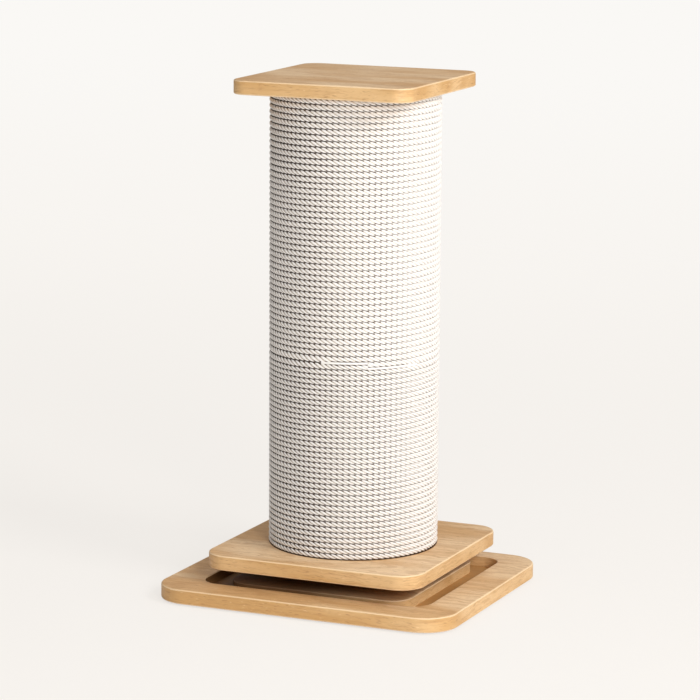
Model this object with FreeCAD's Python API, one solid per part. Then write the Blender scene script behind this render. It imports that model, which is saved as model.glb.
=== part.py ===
"""Cat scratching post: a rope-wound column on a wooden base with a ball track, under a square top.

Millimetres, +Z up, +X along the long front edge of the base, +Y to the back. The origin is on the
floor under the middle of the base. The pieces are drawn about the column's axis, which stands a
little behind it, and moved there as they are written: one STEP file for each, named after it.
"""

import FreeCAD
import Part
import math
import os

V = FreeCAD.Vector
UP = V(0, 0, 1)

# ---- driving dimensions ----

# boards
board_t, top_t = 17.5, 16.5  # base frame and upper plate; top board
edge_round = 2.0  # rounded-over edges of those boards
base_x, base_y, base_corner_r = 366.0, 316.0, 41.0
base_forward = 10.0  # the middle of the base is this far in front of the column's axis
plate_side, plate_corner_r = 268.0, 30.0
top_side, top_corner_r = 220.0, 20.0

# ball track in the base
track_x, track_y, track_corner_r = 282.0, 250.0, 25.0  # opening cut in the base frame
track_edge_round = 1.5  # on the rims of the opening and of the island
island_side, island_corner_r = 224.0, 25.0
floor_t = 5.0  # panel under the track
floor_lap = 12.0  # how far the panel reaches under the frame, in its rebate
track_headroom = 18.5  # from the top of the base to the underside of the upper plate
spacer_side, spacer_corner_r = 150.0, 20.0

# column
post_len = 530.0
core_d, core_wall = 185.0, 5.0
plug_t = 18.0
plug_edge = 1.0  # chamfer that leads a plug into the tube

# rope: two lengths wound the same way, the end of one butted to the start of the next
rope_thick = 6.3  # measured square to the column
lower_pitch, upper_pitch = 6.12, 6.54
turn_gap = 0.45  # between one turn and the next
loop_count = 24  # turns of each length modelled as rope, those next to the splice
splice_height = 226.4  # over the upper plate
splice_step = 2.8  # the upper end stands this much higher than the lower one
splice_angle = -57.6  # degrees about the column's axis from +X
rope_end_gap = 0.5  # above the plate and under the top board

# hardware
fit_gap = 0.15  # radial, of a screw, dowel or nut in its hole
seat_gap = 0.2  # radial, of the plugs in the tube and of the rope round it
pad_d, pad_t, pad_inset = 20.0, 2.0, 25.0
floor_screw_d, floor_screw_len = 3.0, 12.0
row_screw_count, end_screw_count = 3, 3  # floor screws in each long and each short row
island_screw_d, island_screw_len, island_screw_span = 4.0, 30.0, 100.0
dowel_d, dowel_len, dowel_span = 8.0, 25.0, 110.0
spacer_dowel_len, spacer_dowel_span = 20.0, 110.0
bolt_d, bolt_len, bolt_head_d, bolt_head_t = 8.0, 65.0, 14.0, 5.3
washer_d, washer_t, counterbore_clear = 24.0, 1.8, 1.0
bolt_hole_d = 9.0
stud_len = 30.0
nut_barrel_d, nut_barrel_len, nut_flange_d, nut_flange_t = 10.0, 12.0, 22.0, 1.5
insert_d, insert_len = 12.0, 12.5
tube_staple_crown, tube_staple_leg, tube_staples_each = 10.0, 12.0, 6
rope_staple_crown, staple_wire_w, staple_wire_t = 4.0, 1.2, 0.7
screw_head_ratio = 2.0  # head diameter over shank diameter
countersink_lip = 0.3  # straight rim of a countersunk head

# ---- levels and radii worked out from them ----

base_z = pad_t
floor_top_z = base_z + floor_t
base_top_z = base_z + board_t
plate_z = base_top_z + track_headroom
plate_top_z = plate_z + board_t
post_top_z = plate_top_z + post_len
core_r = core_d / 2
plug_r = core_r - core_wall - seat_gap
bottom_plug_top_z = plate_top_z + plug_t
top_plug_z = post_top_z - plug_t
rope_r = core_r + seat_gap + rope_thick / 2  # of the rope's centreline
rope_out_r = rope_r + rope_thick / 2
splice_z = plate_top_z + splice_height
washer_top_z = base_z + bolt_head_t + washer_t + counterbore_clear
bolt_r, bolt_hole_r = bolt_d / 2, bolt_hole_d / 2


# ---- shapes used by several pieces ----


def rounded_face(size_x, size_y, corner_r, z):
    """A rectangle with round corners, centred on the column's axis."""
    half_x, half_y = size_x / 2, size_y / 2
    edges = []
    corners = [(1, 1, 0), (-1, 1, 90), (-1, -1, 180), (1, -1, 270)]
    arcs = []
    for sign_x, sign_y, start in corners:
        centre = V(sign_x * (half_x - corner_r), sign_y * (half_y - corner_r), z)
        ends = [centre + polar(corner_r, start + turn) for turn in (0, 45, 90)]
        arcs.append((Part.Arc(*ends).toShape(), ends))
    for (arc, ends), (_, next_ends) in zip(arcs, arcs[1:] + arcs[:1]):
        edges += [arc, Part.LineSegment(ends[2], next_ends[0]).toShape()]
    return Part.Face(Part.Wire(edges))


def polar(radius, degrees, z=0.0):
    angle = math.radians(degrees)
    return V(radius * math.cos(angle), radius * math.sin(angle), z)


def slab(size_x, size_y, corner_r, z, thick):
    return rounded_face(size_x, size_y, corner_r, z).extrude(UP * thick)


def rim_edges(shape, z, size_x, size_y):
    """The edges of a shape that lie at height z on the outline of a rounded rectangle."""
    tiny = 1e-3
    found = []
    for edge in shape.Edges:
        box = edge.BoundBox
        level = abs(box.ZMin - z) < tiny and abs(box.ZMax - z) < tiny
        reach_x, reach_y = max(abs(box.XMin), abs(box.XMax)), max(abs(box.YMin), abs(box.YMax))
        on_side = abs(reach_x - size_x / 2) < tiny or abs(reach_y - size_y / 2) < tiny
        inside = reach_x < size_x / 2 + tiny and reach_y < size_y / 2 + tiny
        if level and on_side and inside:
            found.append(edge)
    return found


def rounded_board(size_x, size_y, corner_r, z, thick, radius):
    """A board whose outer edges are rounded over on both faces."""
    board = slab(size_x, size_y, corner_r, z, thick)
    rims = rim_edges(board, z, size_x, size_y) + rim_edges(board, z + thick, size_x, size_y)
    return board.makeFillet(radius, rims)


def cylinder(radius, z, height, x=0.0, y=0.0):
    return Part.makeCylinder(radius, height, V(x, y, z))


def square_places(span):
    """The corners of a square of the given side."""
    half = span / 2
    return [(half, half), (-half, half), (-half, -half), (half, -half)]


def side_places(span):
    """Two places on the X axis."""
    return [(-span / 2, 0.0), (span / 2, 0.0)]


def depth_places(span):
    """Two places on the Y axis."""
    return [(0.0, -span / 2), (0.0, span / 2)]


def countersunk(shank_r, length, gap, x, y, z):
    """A countersunk wood screw that points up from a face at height z, or its hole with a gap."""
    head_r = shank_r * screw_head_ratio
    tip = shank_r * 2
    points = [
        (0, 0),
        (head_r + gap, 0),
        (head_r + gap, countersink_lip),
        (shank_r + gap, countersink_lip + head_r - shank_r),
        (shank_r + gap, length - tip),
        (0, length + gap),
    ]
    outline = Part.makePolygon([V(r, 0, h) for r, h in points + points[:1]])
    screw = Part.Face(outline).revolve(V(), UP, 360)
    screw.translate(V(x, y, z))
    return screw


def cut_all(shape, tools):
    for tool in tools:
        shape = shape.cut(tool)
    return shape


def staple(crown, leg, radius, degrees, z):
    """A staple driven towards the column's axis, its crown upright and its back at the radius."""
    wide, thick = staple_wire_w, staple_wire_t
    back = Part.makeBox(thick, wide, crown, V(radius - thick, -wide / 2, -crown / 2))
    legs = [
        Part.makeBox(leg - thick, wide, thick, V(radius - leg, -wide / 2, level))
        for level in (-crown / 2, crown / 2 - thick)
    ]
    whole = back.fuse(legs).removeSplitter()
    whole.rotate(V(), UP, degrees)
    whole.translate(V(0, 0, z))
    return whole


# ---- places of the hardware ----


def screw_row(count, reach):
    """Evenly spaced places along one side, the end ones in from the corners."""
    step = 2 * reach / (count - 1)
    return [-reach + step * i for i in range(count)]


def floor_screw_places():
    """Round the lap of the floor panel under the frame, each side's row and each end's row."""
    line_x, line_y = track_x / 2 + floor_lap / 2, track_y / 2 + floor_lap / 2
    along_x = screw_row(row_screw_count, track_x / 2 - track_corner_r)
    along_y = screw_row(end_screw_count, track_y / 2 - track_corner_r)
    rows = [(x, side * line_y) for side in (-1, 1) for x in along_x]
    ends = [(side * line_x, y) for side in (-1, 1) for y in along_y]
    return rows + ends


def floor_screw_set(gap=0.0):
    r = floor_screw_d / 2
    return [countersunk(r, floor_screw_len, gap, x, y, base_z) for x, y in floor_screw_places()]


def island_screw_set(gap=0.0):
    r = island_screw_d / 2
    places = square_places(island_screw_span)
    return [countersunk(r, island_screw_len, gap, x, y, base_z) for x, y in places]


def dowel_set(joint_z, length, places, gap=0.0):
    """Dowels half in the piece below a joint and half in the piece above it."""
    tall = length + 2 * gap
    return [cylinder(dowel_d / 2 + gap, joint_z - tall / 2, tall, x, y) for x, y in places]


def spacer_dowel_set(gap=0.0):
    """These lie front to back, clear of the base dowels that enter the same plate from above."""
    return dowel_set(plate_z, spacer_dowel_len, depth_places(spacer_dowel_span), gap)


def base_dowel_set(gap=0.0):
    return dowel_set(plate_top_z, dowel_len, side_places(dowel_span), gap)


def top_dowel_set(gap=0.0):
    return dowel_set(post_top_z, dowel_len, side_places(dowel_span), gap)


def tee_nut(flange_z, gap=0.0):
    """A tee nut with its barrel hanging from a flange whose underside is at flange_z."""
    flange = cylinder(nut_flange_d / 2, flange_z, nut_flange_t)
    barrel = cylinder(nut_barrel_d / 2 + gap, flange_z - nut_barrel_len, nut_barrel_len)
    return flange.fuse(barrel).removeSplitter()


def tube_staple_set():
    """Staples through the tube's wall into each plug, spaced evenly round it."""
    step = 360.0 / tube_staples_each
    levels = [plate_top_z + plug_t / 2, post_top_z - plug_t / 2]
    return [
        staple(tube_staple_crown, tube_staple_leg, core_r, step * (i + 0.5), z)
        for z in levels
        for i in range(tube_staples_each)
    ]


# ---- base ----


def base_frame():
    frame = rounded_board(base_x, base_y, base_corner_r, base_z, board_t, edge_round)
    frame.translate(V(0, -base_forward, 0))
    frame = frame.cut(slab(track_x, track_y, track_corner_r, base_z, board_t))
    rim = rim_edges(frame, base_top_z, track_x, track_y)
    frame = frame.makeFillet(track_edge_round, rim)
    lap = 2 * floor_lap
    rebate = slab(track_x + lap, track_y + lap, track_corner_r + floor_lap, base_z, floor_t)
    return cut_all(frame, [rebate] + floor_screw_set(fit_gap))


def counterbore():
    """Room in the underside for the bolt's washer and head."""
    return cylinder(washer_d / 2 + counterbore_clear, base_z, washer_top_z - base_z)


def floor_panel():
    lap = 2 * (floor_lap - fit_gap)
    corner_r = track_corner_r + floor_lap - fit_gap
    panel = slab(track_x + lap, track_y + lap, corner_r, base_z, floor_t)
    return cut_all(panel, floor_screw_set(fit_gap) + island_screw_set(fit_gap) + [counterbore()])


def track_island():
    island_t = board_t - floor_t
    island = slab(island_side, island_side, island_corner_r, floor_top_z, island_t)
    rim = rim_edges(island, base_top_z, island_side, island_side)
    island = island.makeFillet(track_edge_round, rim)
    hole = cylinder(bolt_hole_r, floor_top_z, island_t)
    return cut_all(island, island_screw_set(fit_gap) + [counterbore(), hole])


def spacer_block():
    block = slab(spacer_side, spacer_side, spacer_corner_r, base_top_z, track_headroom)
    hole = cylinder(bolt_hole_r, base_top_z, track_headroom)
    return cut_all(block, [hole] + island_screw_set(fit_gap) + spacer_dowel_set(fit_gap))


def upper_plate():
    plate = rounded_board(plate_side, plate_side, plate_corner_r, plate_z, board_t, edge_round)
    hole = cylinder(bolt_hole_r, plate_z, board_t)
    return cut_all(plate, [hole] + spacer_dowel_set(fit_gap) + base_dowel_set(fit_gap))


def floor_pads():
    """Pads under the four corners of the frame."""
    reach_x, reach_y = base_x / 2 - pad_inset, base_y / 2 - pad_inset
    places = [(sx * reach_x, sy * reach_y - base_forward) for sx in (-1, 1) for sy in (-1, 1)]
    return [cylinder(pad_d / 2, 0, pad_t, x, y) for x, y in places]


# ---- column ----


def core_tube():
    tube = cylinder(core_r, plate_top_z, post_len)
    bore = cylinder(core_r - core_wall, plate_top_z, post_len)
    return cut_all(tube.cut(bore), tube_staple_set() + rope_staple_set())


def plug(z):
    """A wooden disc inside one end of the tube, with a chamfer on both rims."""
    disc = cylinder(plug_r, z, plug_t)
    rims = [edge for edge in disc.Edges if isinstance(edge.Curve, Part.Circle)]
    return disc.makeChamfer(plug_edge, rims)


def bottom_plug():
    tools = [cylinder(bolt_hole_r, plate_top_z, plug_t), tee_nut(bottom_plug_top_z, fit_gap)]
    return cut_all(plug(plate_top_z), tools + base_dowel_set(fit_gap) + tube_staple_set())


def top_nut(gap=0.0):
    """The tee nut of the top plug, turned over: flange below the plug, barrel up in it."""
    nut = tee_nut(top_plug_z, gap)
    nut.rotate(V(0, 0, top_plug_z), V(1, 0, 0), 180)
    return nut


def top_plug():
    tools = [cylinder(bolt_hole_r, top_plug_z, plug_t), top_nut(fit_gap)]
    return cut_all(plug(top_plug_z), tools + top_dowel_set(fit_gap) + tube_staple_set())


# ---- rope ----


class Helix:
    """The centreline of a right-handed winding that passes through one point of the column."""

    def __init__(self, pitch, start_z, start_degrees):
        self.pitch, self.start_z = pitch, start_z
        self.start = math.radians(start_degrees)

    def point(self, turns):
        angle = self.start + 2 * math.pi * turns
        z = self.start_z + self.pitch * turns
        return V(rope_r * math.cos(angle), rope_r * math.sin(angle), z)

    def tangent(self, turns):
        angle = self.start + 2 * math.pi * turns
        rise = self.pitch / (2 * math.pi)
        return V(-rope_r * math.sin(angle), rope_r * math.cos(angle), rise).normalize()


def biarc(start, start_dir, end, end_dir):
    """Two arcs that meet smoothly and leave and arrive in the given directions."""
    span = end - start
    a = 2 * (1 - start_dir.dot(end_dir))
    b = 2 * span.dot(start_dir + end_dir)
    reach = (-b + math.sqrt(b * b + 4 * a * span.dot(span))) / (2 * a)
    first_apex, last_apex = start + start_dir * reach, end - end_dir * reach
    joint = (first_apex + last_apex) * 0.5
    joint_dir = (last_apex - first_apex).normalize()
    return [
        tangent_arc(start, start_dir, joint, joint_dir, first_apex),
        tangent_arc(joint, joint_dir, end, end_dir, last_apex),
    ]


def tangent_arc(start, start_dir, end, end_dir, apex):
    """The arc between two points whose end tangents meet at the apex."""
    middle = (start + end) * 0.5
    rise = (end - start).Length / 2 * math.tan(start_dir.getAngle(end_dir) / 4)
    return Part.Arc(start, middle + (apex - middle).normalize() * rise, end).toShape()


def rope_section(centre, outward, along, rope_d):
    """The rope's outline square to its run: six sides, a corner outwards, pressed to the turns."""
    upward = outward.cross(along)
    out, side = rope_thick / 2, rope_d / 2
    corners = [(out, 0), (out / 2, side), (-out / 2, side)]
    corners += [(-x, -y) for x, y in corners]
    points = [centre + outward * x + upward * y for x, y in corners]
    return Part.makePolygon(points + points[:1])


def winding(helix, first_turn, turns):
    """One unbroken length of rope: straight for its own thickness at each end, wound between."""
    halves = [first_turn + 0.5 * i for i in range(int(2 * turns) + 1)]
    points = [helix.point(t) for t in halves]
    dirs = [helix.tangent(t) for t in halves]
    start = points[0] - dirs[0] * rope_thick
    end = points[-1] + dirs[-1] * rope_thick
    edges = [Part.LineSegment(start, points[0]).toShape()]
    for i in range(len(halves) - 1):
        edges += biarc(points[i], dirs[i], points[i + 1], dirs[i + 1])
    edges.append(Part.LineSegment(points[-1], end).toShape())
    path = Part.Wire(edges)
    rope_d = helix.pitch - turn_gap
    outward = V(points[0].x, points[0].y, 0).normalize()
    section = rope_section(start, outward, dirs[0], rope_d)
    pipe = Part.BRepOffsetAPI.MakePipeShell(path)
    pipe.add(section)
    pipe.build()
    pipe.makeSolid()
    rope = pipe.shape()
    report_winding(path, rope, Part.Face(section).Area, rope_d)
    return rope


def report_winding(path, rope, area, rope_d):
    """Prints the least gap between turns, and the volume against section times length."""
    per_arc = 13
    half_turn = 2 * per_arc
    samples = [point for arc in path.Edges for point in arc.discretize(Number=per_arc)]
    apart = min(
        sample.distanceToPoint(other)
        for i, sample in enumerate(samples)
        for other in samples[i + half_turn :]
    )
    ratio = rope.Volume / (area * path.Length)
    print(f"winding: least gap {apart - rope_d:.2f} mm, volume over section x length {ratio:.4f}")


def sleeve(low_z, high_z):
    """The part of a winding that stays plain: a tube of the rope's own thickness."""
    tall = high_z - low_z
    inner = cylinder(core_r + seat_gap, low_z, tall)
    return cylinder(rope_out_r, low_z, tall).cut(inner)


def lower_helix():
    return Helix(lower_pitch, splice_z - splice_step / 2, splice_angle)


def upper_helix():
    return Helix(upper_pitch, splice_z + splice_step / 2, splice_angle)


def end_stub_turns():
    """How much of a turn the straight rope end takes."""
    return rope_thick / (2 * math.pi * rope_r)


def rope_lower():
    helix = lower_helix()
    stub = end_stub_turns()
    loops = winding(helix, -loop_count - stub, loop_count)
    low_turn_z = helix.point(-loop_count - 2 * stub).z - lower_pitch / 2
    plain = sleeve(plate_top_z + rope_end_gap, low_turn_z - turn_gap)
    return [plain] + [cut_all(loops, rope_staple_set())]


def rope_upper():
    helix = upper_helix()
    stub = end_stub_turns()
    loops = winding(helix, stub, loop_count)
    high_turn_z = helix.point(loop_count + 2 * stub).z + upper_pitch / 2
    plain = sleeve(high_turn_z + turn_gap, post_top_z - rope_end_gap)
    return [cut_all(loops, rope_staple_set())] + [plain]


def rope_staple_set():
    """One staple through each rope end at the splice, into the tube's wall."""
    leg = rope_thick + core_wall / 2
    staples = []
    for helix, side in ((lower_helix(), -1), (upper_helix(), 1)):
        place = helix.point(side * end_stub_turns())
        degrees = math.degrees(math.atan2(place.y, place.x))
        staples.append(staple(rope_staple_crown, leg, rope_out_r - staple_wire_t / 2, degrees, place.z))
    return staples


# ---- bolts, nuts and top ----


def base_bolt():
    """The hexagon bolt that draws the column down on the base."""
    seat_z = washer_top_z - washer_t
    sides = 6
    corners = [polar(bolt_head_d / 2, 360 / sides * i, seat_z) for i in range(sides + 1)]
    head = Part.Face(Part.makePolygon(corners)).extrude(UP * -bolt_head_t)
    return head.fuse(cylinder(bolt_r, seat_z, bolt_len)).removeSplitter()


def base_washer():
    z = washer_top_z - washer_t
    return cylinder(washer_d / 2, z, washer_t).cut(cylinder(bolt_r + fit_gap, z, washer_t))


def threaded(shape):
    """A nut or insert with its bore, plain where the thread would be."""
    box = shape.BoundBox
    return shape.cut(cylinder(bolt_r + fit_gap, box.ZMin, box.ZLength))


def top_insert(gap=0.0):
    return cylinder(insert_d / 2 + gap, post_top_z, insert_len + gap)


def top_stud():
    """The headless bolt that the top board turns on to."""
    return cylinder(bolt_r, top_plug_z, stud_len)


def top_board():
    board = rounded_board(top_side, top_side, top_corner_r, post_top_z, top_t, edge_round)
    return cut_all(board, [top_insert(fit_gap)] + top_dowel_set(fit_gap))


def pieces():
    return {
        "floor_pads": floor_pads(),
        "base_frame": [base_frame()],
        "floor_panel": [floor_panel()],
        "floor_screws": floor_screw_set(),
        "track_island": [track_island()],
        "spacer_block": [spacer_block()],
        "island_screws": island_screw_set(),
        "spacer_dowels": spacer_dowel_set(),
        "upper_plate": [upper_plate()],
        "base_dowels": base_dowel_set(),
        "base_bolt": [base_bolt()],
        "base_washer": [base_washer()],
        "base_tee_nut": [threaded(tee_nut(bottom_plug_top_z))],
        "core_tube": [core_tube()],
        "bottom_plug": [bottom_plug()],
        "top_plug": [top_plug()],
        "tube_staples": tube_staple_set(),
        "rope_lower": rope_lower(),
        "rope_upper": rope_upper(),
        "rope_staples": rope_staple_set(),
        "top_tee_nut": [threaded(top_nut())],
        "top_stud": [top_stud()],
        "top_insert": [threaded(top_insert())],
        "top_dowels": top_dowel_set(),
        "top_board": [top_board()],
    }


def main():
    os.makedirs("parts", exist_ok=True)
    for name, solids in pieces().items():
        solids = [solid for shape in solids for solid in shape.Solids]
        shape = solids[0] if len(solids) == 1 else Part.makeCompound(solids)
        shape.translate(V(0, base_forward, 0))
        shape.exportStep(f"parts/{name}.step")
        print(f"{name}: {len(solids)} solid(s), {shape.Volume / 1000:.1f} cm3, valid {shape.isValid()}")


main()
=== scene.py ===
"""Looks of the cat scratching post: oak boards, a column wound with four-strand rope, soft light.

Metres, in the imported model's own frame: +Z up, +X along the long front edge, the front is -Y.
"""

import math

import bpy
import numpy as np
from mathutils import Matrix, Vector


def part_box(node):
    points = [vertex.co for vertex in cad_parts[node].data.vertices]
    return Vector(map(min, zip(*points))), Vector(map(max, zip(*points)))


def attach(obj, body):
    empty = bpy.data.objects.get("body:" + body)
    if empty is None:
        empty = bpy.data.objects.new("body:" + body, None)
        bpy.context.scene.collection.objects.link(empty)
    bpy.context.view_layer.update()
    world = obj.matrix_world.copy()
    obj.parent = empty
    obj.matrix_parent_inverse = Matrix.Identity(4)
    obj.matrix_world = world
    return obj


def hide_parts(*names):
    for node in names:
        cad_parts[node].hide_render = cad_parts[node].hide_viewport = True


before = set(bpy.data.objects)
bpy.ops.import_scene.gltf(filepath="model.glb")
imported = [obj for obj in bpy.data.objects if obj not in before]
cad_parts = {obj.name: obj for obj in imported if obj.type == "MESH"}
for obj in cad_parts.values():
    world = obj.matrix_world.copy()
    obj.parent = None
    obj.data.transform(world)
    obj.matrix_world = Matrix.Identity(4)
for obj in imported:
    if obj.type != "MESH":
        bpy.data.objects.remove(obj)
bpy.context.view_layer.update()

MM = 0.001


def rgb(red, green, blue):
    """A colour written as 0 to 255 on the screen, as the shader wants it."""
    levels = (red, green, blue)
    linear = [((c / 255 + 0.055) / 1.055) ** 2.4 if c > 10 else c / 3295 for c in levels]
    return (*linear, 1.0)


# ---- camera: fitted to the corners of the boards and the sides of the column ----

CAMERA_PLACE = Vector((1.52138, -3.49108, 1.00380))
CAMERA_YAW, CAMERA_PITCH, CAMERA_ROLL = 23.563, 10.702, 0.351  # degrees
CAMERA_LENS, SENSOR_WIDTH = 172.09, 36.0  # mm
CAMERA_REACH = 200.0

# ---- rope: its shape ----

ROPE_THICK = 6.3 * MM  # square to the column
LOWER_PITCH, UPPER_PITCH = 6.12 * MM, 6.54 * MM
END_GAP = 0.5 * MM  # from the rope to the boards at the column's ends
END_DEGREES = 110.0  # about the column: the ropes begin at its back
END_FLAT_TURNS = 14  # over these the winding turns from flat rounds at its end into a helix
STEP_SHARE = 0.12  # of a flat round is spent on climbing to the next
CROSSINGS_PER_TURN = 88  # strands that come to the outside in one turn, so the gaps line up
STRANDS = 4
RINGS_PER_LAY = 12
STRAND_OFFSET = 1.82 * MM  # of a strand's centre from the rope's
STRAND_OUT, STRAND_WIDE = 1.33 * MM, 1.45 * MM  # half sizes of a strand's section
SECTION_DEGREES = (0, 38, 76, 122, 180, 238, 284, 322)  # closer together on the outside
OVERLAP, OVERLAP_SWING = 1.075, 0.03  # a turn's height over its pitch: the turns are wound tight
TIGHT_DEGREES = -30  # and tightest at this angle about the column

# ---- rope: its splice ----

SPLICE_HEIGHT = 226.4 * MM  # over the upper plate
SPLICE_STEP = 2.8 * MM
SPLICE_DEGREES = -57.6
SPLICE_BAND_DEGREES = (-89, -79, -32, -20)  # the step is open from the second to the third
SMOOTH_END = 15 * MM  # of each rope at the splice is pressed smooth
SMOOTH_WIDENING = 0.3  # a smooth strand is wider by this share
FILLER_DEPTH = 1.75 * MM  # from the rope's outside to the middle of the strand in the step
FILLER_RINGS = CROSSINGS_PER_TURN * 4

# ---- rope: its colours ----

ROPE_GREY, ROPE_PALE = rgb(236, 231, 226), rgb(247, 244, 241)
ROPE_MOTTLE, MOTTLE_SHARE = rgb(222, 210, 196), 0.08
SEAM_SHADE_LIT, SEAM_SHADE_SHADY = rgb(229, 222, 214), rgb(203, 192, 179)  # painted shade along a strand's edges, darker on the column's shady side
# painted shade in the gaps between turns and the holes between strands
GAP_SHADE_BROWN = rgb(82, 60, 44)
YARN_SCALE, LINE_SCALE = (260.0, 9.0, 1.0), (260.0, 6.0, 1.0)
# From 0 in the middle of a strand's inner side to 0.5 in that of its outer side:
SEAM_SHADE_OUTWARD, HOLE_SHADE_OUTWARD = (0.27, 0.33), (0.32, 0.36)
# From the column's axis, painted shade below the first and none past the second:
GAP_SHADE_RADIUS = (97.0 * MM, 97.9 * MM)  # between turns
HOLE_SHADE_RADIUS = (97.2 * MM, 97.8 * MM)  # between strands
# From -1 to 1, across the column towards its shady side, where the painted shade in the gaps is
# darkest:
SHADY_DEGREES = -156
SEAM_SHADE_SIDE, HOLE_SHADE_SIDE, GAP_SHADE_SIDE = (-0.5, 0.6), (-0.95, -0.2), (0.0, 0.6)

# ---- wood: sizes are given as features per metre along x, y and z ----

FACE_TILT = (0.55, 0.85)  # a normal's share upwards: an edge below the first, a face past the last
BEND_SCALE, BEND_REACH = (12.0, 20.0, 20.0), (0.0, 0.011, 0.005)
FIGURE_SCALE, RINGS_PER_FIGURE = (1.8, 16.0, 16.0), 90.0
STREAKS_ON_FACE, STREAKS_ON_EDGE = (16.0, 330.0, 330.0), (26.0, 26.0, 380.0)
PORES_ON_FACE, PORES_ON_EDGE = (70.0, 1300.0, 1300.0), (110.0, 110.0, 1100.0)
PATCH_SCALE = (7.0, 16.0, 30.0)
PATCH_RANGE, RING_RANGE, STREAK_RANGE = (0.36, 0.64), (0.35, 0.98), (0.45, 0.68)
PORE_RANGE, FLECK_RANGE = (0.61, 0.73), (0.30, 0.22)
RIM_HIGHLIGHT_FROM, RIM_HIGHLIGHT_TO = (0.12, 0.4), (0.7, 0.97)  # painted highlight on the rounded rims, by a normal's share upwards
PORE_DEPTH = 0.3  # against that of the streaks
OAK_RELIEF, PLY_RELIEF = 0.15 * MM, 0.2 * MM

OAK_FACE_DARK, OAK_FACE_PALE = rgb(208, 164, 112), rgb(230, 197, 155)
OAK_EDGE_DARK, OAK_EDGE_PALE = rgb(201, 156, 98), rgb(219, 180, 128)
OAK_RING, RING_SHARE = rgb(176, 128, 80), 0.30
OAK_STREAK, STREAK_SHARE = rgb(180, 132, 80), 0.45
OAK_FLECK, FLECK_SHARE = rgb(246, 220, 178), 0.5
OAK_PORE, PORE_SHARE = rgb(138, 88, 44), 0.45
OAK_RIM_HIGHLIGHT, RIM_HIGHLIGHT_SHARE = rgb(252, 228, 190), 0.5
PLY_DARK, PLY_PALE = rgb(160, 114, 58), rgb(186, 141, 84)
PLY_STREAK, PLY_STREAK_SHARE = rgb(140, 90, 44), 0.35
PLY_LAYER, PLY_LAYER_SHARE = rgb(150, 104, 60), 0.2

# ---- wood: painted shade where the boards keep light out ----

# painted shade: dark brown for the shade in the opening, under the plate and round the rope's foot
PAINTED_SHADE_BROWN = rgb(84, 46, 12)
OPENING_HALF_X, OPENING_HALF_Y = 142 * MM, 126 * MM  # just past the walls of the base's opening
OPENING_RIM = 1.5 * MM  # rounded, and left out of the painted shade
TRACK_SHADE_X, ISLAND_SHADE_X = (-0.06, 0.12), (-0.04, 0.13)  # painted shade left of the first, none right of the last
# how strong the painted shade is in the opening, on the plywood and on the island
OPENING_SHADE_SHARE, PLY_SHADE_SHARE, ISLAND_SHADE_SHARE = 0.75, 0.6, 0.85
ROPE_SHADE_RING = (98.2 * MM, 98.9 * MM)  # painted contact shade on the plate round the rope's foot, from the column's axis

# ---- stage ----

FLOOR_SIZE = 60.0
FLOOR_NEAR, FLOOR_FAR = (0.922, 0.888, 0.847, 1), (0.956, 0.939, 0.913, 1)
FLOOR_NEAR_Y, FLOOR_FAR_Y = -0.5, 6.0
GLOW_NEAR, GLOW_FAR, GLOW_FAR_Y = 0.78, 1.0, 2.5  # share of the floor that doesn't take shadow
DOME_LOW, DOME_HIGH = 0.02, 0.87  # at the horizon and overhead
LAMP_TARGET = (0, 0, 0.3)
LOW_KEY_PLACE, LOW_KEY_SIDE, LOW_KEY_POWER = (2.05, -2.5, 1.25), 0.7, 48.0
HIGH_KEY_PLACE, HIGH_KEY_SIDE, HIGH_KEY_POWER = (3.0, -1.0, 2.5), 1.1, 74.0


# ---- shader helpers ----


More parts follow.
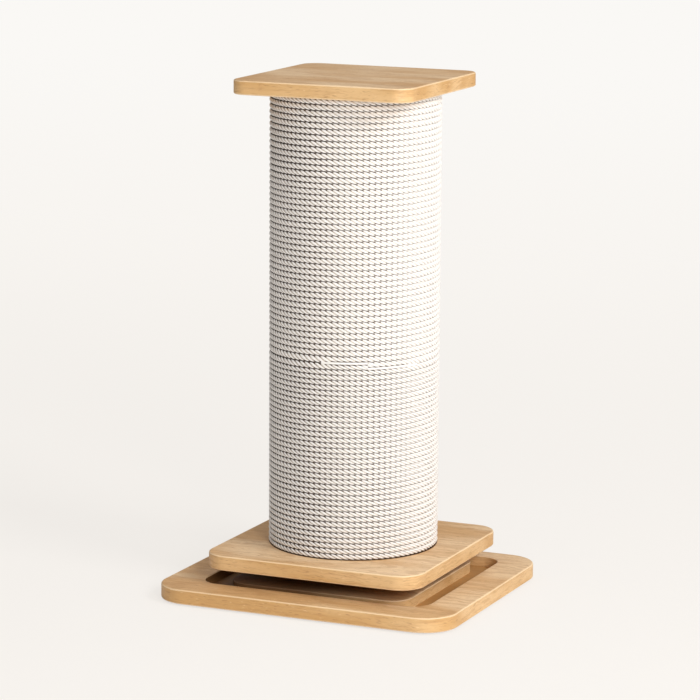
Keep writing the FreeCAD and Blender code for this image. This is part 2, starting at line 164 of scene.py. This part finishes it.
class Nodes:
    """Adds nodes to a new material and joins them."""

    def __init__(self, name):
        self.material = bpy.data.materials.new(name)
        self.material.use_nodes = True
        self.tree = self.material.node_tree
        self.tree.nodes.clear()

    def add(self, kind, inputs=None, **settings):
        node = self.tree.nodes.new("ShaderNode" + kind)
        for key, value in settings.items():
            setattr(node, key, value)
        for key, value in (inputs or {}).items():
            self.put(value, node.inputs[key])
        return node

    def put(self, value, socket):
        if isinstance(value, bpy.types.NodeSocket):
            self.tree.links.new(value, socket)
        else:
            socket.default_value = value

    def place(self):
        return self.add("TexCoord").outputs["Object"]

    def part(self, vector, index):
        """Its x, y or z."""
        return self.add("SeparateXYZ", {0: vector}).outputs[index]

    def vector(self, operation, a, b=(0, 0, 0)):
        node = self.add("VectorMath", {0: a, 1: b}, operation=operation)
        return node.outputs["Value" if operation in ("DOT_PRODUCT", "DISTANCE") else "Vector"]

    def math(self, operation, a, b=0.0):
        return self.add("Math", {0: a, 1: b}, operation=operation).outputs[0]

    def times(self, first, *others):
        for other in others:
            first = self.math("MULTIPLY", first, other)
        return first

    def less(self, share):
        """1 less the share."""
        return self.math("SUBTRACT", 1.0, share)

    def step(self, value, low, high):
        """0 below low, 1 above high, smooth between."""
        inputs = {"Value": value, "From Min": low, "From Max": high}
        return self.add("MapRange", inputs, interpolation_type="SMOOTHSTEP").outputs[0]

    def between(self, share, low, high):
        """Low where the share is 0, high where it is 1."""
        inputs = {"Value": share, "To Min": low, "To Max": high}
        return self.add("MapRange", inputs).outputs[0]

    def mix(self, factor, a, b):
        node = self.add("Mix", data_type="RGBA")
        self.put(factor, node.inputs[0])
        self.put(a, node.inputs[6])
        self.put(b, node.inputs[7])
        return node.outputs[2]

    def mix_place(self, factor, a, b):
        node = self.add("Mix", data_type="VECTOR")
        self.put(factor, node.inputs[0])
        self.put(a, node.inputs[4])
        self.put(b, node.inputs[5])
        return node.outputs[1]

    def mapped(self, place, scale, location=(0, 0, 0)):
        inputs = {"Vector": place, "Scale": scale, "Location": location}
        return self.add("Mapping", inputs).outputs[0]

    def noise(self, place, scale=1.0, detail=2.0, roughness=0.5):
        inputs = {"Vector": place, "Scale": scale, "Detail": detail, "Roughness": roughness}
        return self.add("TexNoise", inputs).outputs[0]

    def bump(self, height, depth):
        return self.add("Bump", {"Height": height, "Distance": depth, "Strength": 1.0}).outputs[0]

    def surface(self, **inputs):
        shader = self.add("BsdfPrincipled", {k.replace("_", " "): v for k, v in inputs.items()})
        self.finish(shader)
        return self.material

    def finish(self, shader):
        out = self.add("OutputMaterial")
        self.tree.links.new(shader.outputs[0], out.inputs["Surface"])


# ---- wood ----


def oak(name, shift, painted_light=(0, 0, 0), painted_shade=None):
    """Light oak: wavy grain along X on the faces, short streaks round the edges, small dark pores.

    shift: moves the grain, so that no two boards have the same; painted_light: painted light, how
    much lighter the board is made per metre along x, y and z; painted_shade: gives the share of
    painted dark brown shade where light is kept out.
    """
    n = Nodes(name)
    coords = n.add("TexCoord")
    place, normal = coords.outputs["Object"], coords.outputs["Normal"]
    level = n.math("ABSOLUTE", n.part(normal, 2))
    on_face = n.step(level, *FACE_TILT)

    bend = n.add("TexNoise", {"Vector": n.mapped(place, BEND_SCALE, shift), "Detail": 1.0})
    wavy = n.vector("ADD", place, n.vector("MULTIPLY", bend.outputs[1], BEND_REACH))
    figure = n.noise(n.mapped(wavy, FIGURE_SCALE, shift), detail=1.0, roughness=0.4)
    rings = n.step(n.math("SINE", n.times(figure, RINGS_PER_FIGURE)), *RING_RANGE)

    def along_grain(scale_on_edge, scale_on_face):
        across_edge = n.mapped(wavy, scale_on_edge, shift)
        return n.mix_place(on_face, across_edge, n.mapped(wavy, scale_on_face, shift))

    streaks = n.noise(along_grain(STREAKS_ON_EDGE, STREAKS_ON_FACE), detail=3.0, roughness=0.6)
    specks = n.noise(along_grain(PORES_ON_EDGE, PORES_ON_FACE), detail=1.0)
    pores, flecks = n.step(specks, *PORE_RANGE), n.step(specks, *FLECK_RANGE)
    patches_and_painted_light = n.noise(n.mapped(place, PATCH_SCALE, shift), detail=1.5)
    # random paler patches of the wood, plus painted light: a slope that makes the board paler
    # towards its lit side
    patches_and_painted_light = n.math("ADD", patches_and_painted_light, n.vector("DOT_PRODUCT", place, painted_light))
    pale_and_painted_light = n.step(patches_and_painted_light, *PATCH_RANGE)

    face = n.mix(pale_and_painted_light, OAK_FACE_DARK, OAK_FACE_PALE)
    face = n.mix(n.times(rings, RING_SHARE), face, OAK_RING)
    edge = n.mix(pale_and_painted_light, OAK_EDGE_DARK, OAK_EDGE_PALE)
    colour = n.mix(on_face, edge, face)
    colour = n.mix(n.times(n.step(streaks, *STREAK_RANGE), STREAK_SHARE), colour, OAK_STREAK)
    colour = n.mix(n.times(flecks, FLECK_SHARE), colour, OAK_FLECK)
    colour = n.mix(n.times(pores, PORE_SHARE), colour, OAK_PORE)
    # painted highlight along the rounded rims
    rim_highlight = n.times(n.step(level, *RIM_HIGHLIGHT_FROM), n.less(n.step(level, *RIM_HIGHLIGHT_TO)))
    colour = n.mix(n.times(rim_highlight, RIM_HIGHLIGHT_SHARE), colour, OAK_RIM_HIGHLIGHT)
    # painted shade: dark brown where the boards keep light out
    if painted_shade:
        colour = n.mix(painted_shade(n, place), colour, PAINTED_SHADE_BROWN)

    height = n.math("SUBTRACT", streaks, n.times(pores, PORE_DEPTH))
    return n.surface(
        Base_Color=colour,
        Roughness=n.between(streaks, 0.38, 0.58),
        Normal=n.bump(height, OAK_RELIEF),
    )


def to_left(n, place, dark, light):
    """1 where x is below dark, 0 where it is over light."""
    return n.less(n.step(n.part(place, 0), dark, light))


def opening_painted_shade(n, place):
    """Painted shade on the walls of the base's opening, darker to the left."""
    from_middle = n.vector("ABSOLUTE", n.vector("SUBTRACT", place, column_axis()))
    inside_x = n.math("LESS_THAN", n.part(from_middle, 0), OPENING_HALF_X)
    inside_y = n.math("LESS_THAN", n.part(from_middle, 1), OPENING_HALF_Y)
    below_rim = n.math("LESS_THAN", n.part(place, 2), box_top("base_frame") - OPENING_RIM)
    left = to_left(n, place, *TRACK_SHADE_X)
    return n.times(inside_x, inside_y, below_rim, OPENING_SHADE_SHARE, left)


def island_painted_shade(n, place):
    """Painted shade on the island under the plate, darker to the left."""
    return n.times(to_left(n, place, *ISLAND_SHADE_X), ISLAND_SHADE_SHARE)


def rope_ring_painted_shade(n, place):
    """Painted contact shade on the ring of the plate that the rope covers."""
    return n.less(n.step(from_axis(n, place), *ROPE_SHADE_RING))


def plywood(name):
    """The panel, spacer and plugs: a rotary veneer with broad soft figure, darker than the oak,
    with painted shade darker to the left.
    """
    n = Nodes(name)
    place = n.place()
    figure = n.noise(n.mapped(place, (2.0, 12.0, 60.0)))
    streaks = n.noise(n.mapped(place, (14.0, 420.0, 700.0)), detail=3.0, roughness=0.6)
    layers = n.step(n.noise(n.mapped(place, (0.5, 0.5, 600.0)), detail=0.0), 0.42, 0.58)
    colour = n.mix(n.step(figure, 0.3, 0.7), PLY_DARK, PLY_PALE)
    colour = n.mix(n.times(streaks, PLY_STREAK_SHARE), colour, PLY_STREAK)
    colour = n.mix(n.times(layers, PLY_LAYER_SHARE), colour, PLY_LAYER)
    # painted shade, darker to the left, away from the lamps
    left = to_left(n, place, *TRACK_SHADE_X)
    colour = n.mix(n.times(left, PLY_SHADE_SHARE), colour, PAINTED_SHADE_BROWN)
    return n.surface(
        Base_Color=colour,
        Roughness=n.between(streaks, 0.5, 0.75),
        Normal=n.bump(streaks, PLY_RELIEF),
    )


def beech(name):
    """Turned dowels: pale, with the short flecks of beech."""
    n = Nodes(name)
    flecks = n.noise(n.mapped(n.place(), (1500.0, 1500.0, 160.0)), detail=1.0)
    colour = n.mix(n.step(flecks, 0.5, 0.7), rgb(224, 186, 142), rgb(188, 142, 98))
    return n.surface(Base_Color=colour, Roughness=0.6, Normal=n.bump(flecks, 0.1 * MM))


# ---- hidden and small pieces ----


def cardboard(name):
    """The wound paperboard tube: mottled brown pulp."""
    n = Nodes(name)
    place = n.place()
    pulp = n.noise(place, scale=900.0, detail=3.0)
    mottle = n.noise(place, scale=60.0)
    colour = n.mix(n.step(mottle, 0.3, 0.7), rgb(118, 84, 56), rgb(138, 102, 70))
    colour = n.mix(n.times(pulp, 0.3), colour, rgb(92, 64, 42))
    return n.surface(Base_Color=colour, Roughness=0.9, Normal=n.bump(pulp, 0.1 * MM))


def zinc_steel(name):
    """Plated steel: a pale grey with a faint mottle in its polish."""
    n = Nodes(name)
    mottle = n.noise(n.place(), scale=700.0)
    colour = n.mix(mottle, rgb(176, 178, 182), rgb(206, 207, 206))
    return n.surface(
        Base_Color=colour,
        Metallic=1.0,
        Roughness=n.between(mottle, 0.25, 0.45),
        Normal=n.bump(mottle, 0.02 * MM),
    )


def felt(name):
    """Pads: matted grey-brown fibre."""
    n = Nodes(name)
    squeezed = n.mapped(n.place(), (1.0, 1.0, 1.6))
    fibre = n.noise(squeezed, scale=1600.0, detail=4.0, roughness=0.7)
    colour = n.mix(n.step(fibre, 0.35, 0.65), rgb(88, 78, 68), rgb(128, 116, 102))
    return n.surface(Base_Color=colour, Roughness=1.0, Normal=n.bump(fibre, 0.3 * MM))


# ---- rope: its material ----


def from_axis(n, place):
    """Distance from the column's axis."""
    axis = column_axis()
    return n.vector("DISTANCE", n.vector("MULTIPLY", place, (1, 1, 0)), (axis.x, axis.y, 0))


def shady_side(n, place):
    """1 on the column's shady side, -1 on the side across from it."""
    axis, angle = column_axis(), math.radians(SHADY_DEGREES)
    towards = (math.cos(angle) / rope_radius(), math.sin(angle) / rope_radius(), 0)
    return n.vector("DOT_PRODUCT", n.vector("SUBTRACT", place, (axis.x, axis.y, 0)), towards)


def rope_fibre(name):
    """Off-white twisted yarn, its fine lines slantwise along the strand, with painted shade along
    strands' edges and where turns meet.
    """
    n = Nodes(name)
    place = n.place()
    along = n.add("UVMap", uv_map="Strand").outputs[0]
    yarn = n.noise(n.mapped(along, YARN_SCALE), detail=3.0, roughness=0.65)
    line_inputs = {"Vector": n.mapped(along, LINE_SCALE), "Scale": 1.0}
    lines = n.add("TexWave", line_inputs, wave_type="BANDS", bands_direction="DIAGONAL").outputs[1]
    colour = n.mix(n.step(yarn, 0.3, 0.7), ROPE_GREY, ROPE_PALE)
    mottle = n.noise(place, scale=45.0)
    colour = n.mix(n.times(mottle, MOTTLE_SHARE), colour, ROPE_MOTTLE)

    outward = n.math("ABSOLUTE", n.math("SUBTRACT", n.part(along, 1), 0.5))
    shady, radius = shady_side(n, place), from_axis(n, place)
    # painted shade in the valleys along the strands' edges, darker on the shady side
    seam_shade = n.mix(n.step(shady, *SEAM_SHADE_SIDE), SEAM_SHADE_LIT, SEAM_SHADE_SHADY)
    colour = n.mix(n.step(outward, *SEAM_SHADE_OUTWARD), seam_shade, colour)
    # painted shade in the holes between strands and the gaps between turns, darkest on the shady
    # side
    unshaded = n.math("MAXIMUM", n.step(outward, *HOLE_SHADE_OUTWARD), n.step(radius, *HOLE_SHADE_RADIUS))
    hole_shade = n.times(n.less(unshaded), n.step(shady, *HOLE_SHADE_SIDE))
    gap_shade = n.times(n.less(n.step(radius, *GAP_SHADE_RADIUS)), n.step(shady, *GAP_SHADE_SIDE))
    colour = n.mix(n.math("MAXIMUM", hole_shade, gap_shade), colour, GAP_SHADE_BROWN)
    height = n.math("ADD", yarn, n.times(lines, 0.5))
    return n.surface(
        Base_Color=colour,
        Roughness=0.85,
        Sheen_Weight=0.1,
        Normal=n.bump(height, 0.12 * MM),
    )


# ---- rope: its winding ----


def box_top(node):
    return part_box(node)[1].z


def rope_radius():
    """Of the rope's centreline: it lies on the core tube."""
    low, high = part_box("rope_lower")
    return (high.x - low.x) / 2 - ROPE_THICK / 2


def column_axis():
    low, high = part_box("core_tube")
    return (low + high) / 2


def round_column(radius, angle, z):
    """Points at an angle about the column's axis."""
    axis = column_axis()
    return np.stack([axis.x + radius * np.cos(angle), axis.y + radius * np.sin(angle), z], 1)


def flat_round(turns):
    """Whole turns climbed if each round lies flat and climbs in its last share."""
    whole = np.floor(turns)
    climb = np.clip((turns - whole - 1 + STEP_SHARE) / STEP_SHARE, 0, 1)
    return whole + climb * climb * (3 - 2 * climb)


def winding_heights(turns):
    """Pitches climbed after so many turns from a flat end, easing into an even helix."""
    flat = np.clip(1 - turns / END_FLAT_TURNS, 0, 1)
    return flat * flat_round(turns) + (1 - flat) * turns


def strand(name, centre, turn_angle, phase, smooth, pressed, material):
    """A tube that twists round the rope's centreline.

    centre: points along the rope; turn_angle: the angle of each about the column; phase: where
    the strand is round the rope at each; smooth: 0 to 1, how far the rope is pressed smooth;
    pressed: the rope's height over its depth at each.
    """
    outward = np.stack([np.cos(turn_angle), np.sin(turn_angle), np.zeros_like(turn_angle)], 1)
    upward = np.array([0.0, 0.0, 1.0])
    to_strand = np.cos(phase)[:, None] * upward + np.sin(phase)[:, None] * outward
    across = -np.sin(phase)[:, None] * upward + np.cos(phase)[:, None] * outward
    around = np.radians(SECTION_DEGREES)
    out = (STRAND_OFFSET + STRAND_OUT * np.cos(around))[None, :, None]
    wide = STRAND_WIDE * (1 + SMOOTH_WIDENING * smooth[:, None]) * np.sin(around)[None, :]
    offset = to_strand[:, None, :] * out + across[:, None, :] * wide[:, :, None]
    offset[:, :, 2] *= pressed[:, None]
    points = centre[:, None, :] + offset
    rings, sides = points.shape[:2]
    index = np.arange(rings * sides).reshape(rings, sides)
    after = np.roll(index, -1, axis=1)
    quads = np.stack([index[:-1], after[:-1], after[1:], index[1:]], -1).reshape(-1, 4)
    mesh = bpy.data.meshes.new(name)
    ends = [index[0][::-1].tolist(), index[-1].tolist()]
    mesh.from_pydata(points.reshape(-1, 3), [], quads.tolist() + ends)
    mesh.polygons.foreach_set("use_smooth", np.ones(len(mesh.polygons), bool))
    mesh.materials.append(material)
    add_strand_maps(mesh, centre, turn_angle, sides, len(quads))
    piece = bpy.data.objects.new(name, mesh)
    bpy.context.scene.collection.objects.link(piece)
    return piece


def add_strand_maps(mesh, centre, turn_angle, sides, quads):
    """Strand: metres along it and its share of the way round. OFBake: a row for each turn."""
    steps = np.linalg.norm(np.diff(centre, axis=0), axis=1)
    run = np.concatenate([[0.0], np.cumsum(steps)])
    ring, side = np.divmod(np.arange(quads), sides)
    round_share = np.stack([side, side + 1, side + 1, side], 1) / sides
    along = np.stack([run[ring], run[ring], run[ring + 1], run[ring + 1]], 1)
    put_map(mesh, "Strand", along, round_share, np.zeros((2 * sides, 2)))

    turns = np.abs(turn_angle - turn_angle[0]) / (2 * math.pi)
    row = np.floor(turns[ring])[:, None]
    rows = row.max() + 2  # the last one holds the ends, side by side
    row_inset, last_ring_room = 0.08, 1 + 1.0 / CROSSINGS_PER_TURN
    across = np.stack([turns[ring], turns[ring], turns[ring + 1], turns[ring + 1]], 1) - row
    up = (row + row_inset + (1 - 2 * row_inset) * round_share) / rows
    spin = np.arange(sides) * 2 * math.pi / sides
    end_across, next_end, end_reach = 0.1, 0.5, 0.3
    end_u = end_across + end_reach / rows * np.cos(spin)
    end_v = (rows - 0.5 + end_reach * np.sin(spin)) / rows
    end = np.stack([end_u, end_v], 1)
    ends = np.concatenate([end, end + (next_end, 0)])
    put_map(mesh, "OFBake", across / last_ring_room, up, ends)


def put_map(mesh, name, u, v, ends):
    corners = np.concatenate([np.stack([u, v], -1).reshape(-1, 2), ends]).astype(np.float32)
    mesh.uv_layers.new(name=name).data.foreach_set("uv", corners.ravel())


def wind_rope(node, pitch, splice_turns, splice_z, end_z, direction, material):
    """Its strands from a flat round at end_z to the splice. direction: 1 if that end is below."""
    lays_per_turn = CROSSINGS_PER_TURN / STRANDS
    turns = np.linspace(0, splice_turns, int(splice_turns * lays_per_turn * RINGS_PER_LAY))
    climbed = winding_heights(turns)
    z = end_z + (splice_z - end_z) * climbed / climbed[-1]
    angle = math.radians(SPLICE_DEGREES) + direction * (turns - splice_turns) * 2 * math.pi
    radius = rope_radius()
    centre = round_column(radius, angle, z)
    to_splice = (splice_turns - turns) * 2 * math.pi * radius
    smooth = np.clip(1 - to_splice / SMOOTH_END, 0, 1)
    last_turn = splice_turns - turns < 1
    spread = np.where(last_turn, 1 - splice_open(angle), 0) * SPLICE_STEP
    centre[:, 2] += direction * spread / 4
    tightness = OVERLAP + OVERLAP_SWING * np.cos(angle - math.radians(TIGHT_DEGREES))
    tightness = np.where(last_turn, tightness + (1 - tightness) * splice_open(angle), tightness)
    pressed = tightness * (pitch + spread / 2) / ROPE_THICK
    for k in range(STRANDS):
        phase = angle * lays_per_turn + 2 * math.pi * k / STRANDS
        name = f"{node}_strand_{k + 1}"
        piece = strand(name, centre, angle, phase, smooth, pressed, material)
        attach(piece, "root")
        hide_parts(node)


def splice_open(angle):
    """1 where the step between the two ropes is open, 0 where their last turns spread over it."""
    degrees = (np.degrees(angle) + 180) % 360 - 180
    return np.interp(degrees, SPLICE_BAND_DEGREES, (0, 1, 1, 0))


def filler_strand(low_splice, high_splice, material):
    """One strand of the lower rope, led on to fill the open step between the two ropes."""
    reach = [(SPLICE_BAND_DEGREES[i] - SPLICE_DEGREES) / 360 for i in (0, -1)]
    turns = np.linspace(*reach, FILLER_RINGS)
    round_before = np.where(turns < 0, 1, 0)
    below = low_splice + LOWER_PITCH * (turns + round_before - 1) + ROPE_THICK / 2
    above = high_splice + UPPER_PITCH * (turns + round_before) - ROPE_THICK / 2
    angle = math.radians(SPLICE_DEGREES) + 2 * math.pi * turns
    radius = rope_radius() + ROPE_THICK / 2 - FILLER_DEPTH - STRAND_OFFSET
    centre = round_column(radius, angle, (below + above) / 2)
    outward = np.full(FILLER_RINGS, math.pi / 2)
    rough, round_section = np.zeros(FILLER_RINGS), np.ones(FILLER_RINGS)
    name = "rope_splice_strand"
    piece = strand(name, centre, angle, outward, rough, round_section, material)
    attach(piece, "root")
    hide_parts("rope_lower")


def turns_from_back(pitch, height, direction):
    """The number of turns nearest to height over pitch that starts at the back of the column."""
    share = direction * (SPLICE_DEGREES - END_DEGREES) / 360 % 1
    return round(height / pitch - share) + share


def ropes(material):
    low_z = box_top("upper_plate") + END_GAP + LOWER_PITCH / 2
    high_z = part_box("top_board")[0].z - END_GAP - UPPER_PITCH / 2
    splice_z = box_top("upper_plate") + SPLICE_HEIGHT
    low_splice, high_splice = splice_z - SPLICE_STEP / 2, splice_z + SPLICE_STEP / 2
    low_turns = turns_from_back(LOWER_PITCH, low_splice - low_z, 1)
    high_turns = turns_from_back(UPPER_PITCH, high_z - high_splice, -1)
    wind_rope("rope_lower", LOWER_PITCH, low_turns, low_splice, low_z, 1, material)
    wind_rope("rope_upper", UPPER_PITCH, high_turns, high_splice, high_z, -1, material)
    filler_strand(low_splice, high_splice, material)


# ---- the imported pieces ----


def dress():
    """Gives every CAD node that stays its material."""
    finishes = {
        "base_frame": oak("oak_base", (0.0, 0.0, 0.0), painted_light=(0.1, 1.0, 0), painted_shade=opening_painted_shade),
        "track_island": oak("oak_island", (3.1, 0.7, 0.0), painted_light=(1.5, 0, 0), painted_shade=island_painted_shade),
        "upper_plate": oak("oak_plate", (5.3, 1.9, 0.0), painted_light=(0.9, -0.4, 0), painted_shade=rope_ring_painted_shade),
        "top_board": oak("oak_top", (8.2, 2.6, 0.0), painted_light=(-0.25, 0, 0)),
        "core_tube": cardboard("cardboard"),
        "floor_pads": felt("felt"),
    }
    ply, dowel, steel = plywood("plywood"), beech("beech"), zinc_steel("zinc_steel")
    finishes |= {node: ply for node in ("floor_panel", "spacer_block", "bottom_plug", "top_plug")}
    finishes |= {node: dowel for node in ("spacer_dowels", "base_dowels", "top_dowels")}
    for name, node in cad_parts.items():
        node.data.materials.clear()
        node.data.materials.append(finishes.get(name, steel))


# ---- stage ----


def stage_floor():
    """A pale floor that looks nearly evenly lit to the camera and keeps a soft shadow."""
    n = Nodes("floor")
    y = n.part(n.place(), 1)
    colour = n.mix(n.step(y, FLOOR_NEAR_Y, FLOOR_FAR_Y), FLOOR_NEAR, FLOOR_FAR)
    lit = n.add("BsdfDiffuse", {"Color": colour})
    glow = n.add("Emission", {"Color": colour})
    seen = n.add("LightPath").outputs["Is Camera Ray"]
    glow_share = n.between(n.step(y, FLOOR_NEAR_Y, GLOW_FAR_Y), GLOW_NEAR, GLOW_FAR)
    share = n.times(seen, glow_share)
    n.finish(n.add("MixShader", {0: share, 1: lit.outputs[0], 2: glow.outputs[0]}))
    half = FLOOR_SIZE / 2
    corners = [(-half, -half, 0), (half, -half, 0), (half, half, 0), (-half, half, 0)]
    mesh = bpy.data.meshes.new("floor")
    mesh.from_pydata(corners, [], [(0, 1, 2, 3)])
    mesh.materials.append(n.material)
    floor = bpy.data.objects.new("floor", mesh)
    bpy.context.scene.collection.objects.link(floor)


def area_light(name, place, side, power):
    light = bpy.data.lights.new(name, "AREA")
    light.shape, light.size, light.energy = "SQUARE", side, power
    lamp = bpy.data.objects.new(name, light)
    lamp.location = place
    lamp.rotation_euler = (Vector(LAMP_TARGET) - Vector(place)).to_track_quat("-Z", "Y").to_euler()
    bpy.context.scene.collection.objects.link(lamp)


def stage_lights():
    """Two soft lamps from the right, one low in front and one high."""
    area_light("low_key", LOW_KEY_PLACE, LOW_KEY_SIDE, LOW_KEY_POWER)
    area_light("high_key", HIGH_KEY_PLACE, HIGH_KEY_SIDE, HIGH_KEY_POWER)


def stage_dome():
    """A white dome, bright overhead and dim at the horizon."""
    world = bpy.data.worlds.new("studio")
    world.use_nodes = True
    tree = world.node_tree
    coords, split = tree.nodes.new("ShaderNodeTexCoord"), tree.nodes.new("ShaderNodeSeparateXYZ")
    ramp = tree.nodes.new("ShaderNodeMapRange")
    background = tree.nodes["Background"]
    background.inputs["Color"].default_value = (1, 1, 1, 1)
    ramp.inputs["To Min"].default_value = DOME_LOW
    ramp.inputs["To Max"].default_value = DOME_HIGH
    tree.links.new(coords.outputs["Generated"], split.inputs[0])
    tree.links.new(split.outputs[2], ramp.inputs["Value"])
    tree.links.new(ramp.outputs[0], background.inputs["Strength"])
    bpy.context.scene.world = world


def place_camera():
    yaw, pitch, roll = (math.radians(a) for a in (CAMERA_YAW, CAMERA_PITCH, CAMERA_ROLL))
    level_ahead = Vector((-math.sin(yaw), math.cos(yaw), 0))
    ahead = level_ahead * math.cos(pitch) - Vector((0, 0, math.sin(pitch)))
    right = Vector((math.cos(yaw), math.sin(yaw), 0))
    up = right.cross(ahead)
    rolled_right = right * math.cos(roll) + up * math.sin(roll)
    rolled_up = up * math.cos(roll) - right * math.sin(roll)
    data = bpy.data.cameras.new("camera")
    data.lens, data.sensor_width, data.clip_end = CAMERA_LENS, SENSOR_WIDTH, CAMERA_REACH
    camera = bpy.data.objects.new("camera", data)
    turned = Matrix((rolled_right, rolled_up, -ahead)).transposed().to_4x4()
    camera.matrix_world = Matrix.Translation(CAMERA_PLACE) @ turned
    bpy.context.scene.collection.objects.link(camera)
    bpy.context.scene.camera = camera


dress()
ropes(rope_fibre("sisal_rope"))
stage_floor()
stage_lights()
stage_dome()
place_camera()
bpy.context.scene.view_settings.view_transform = "Standard"
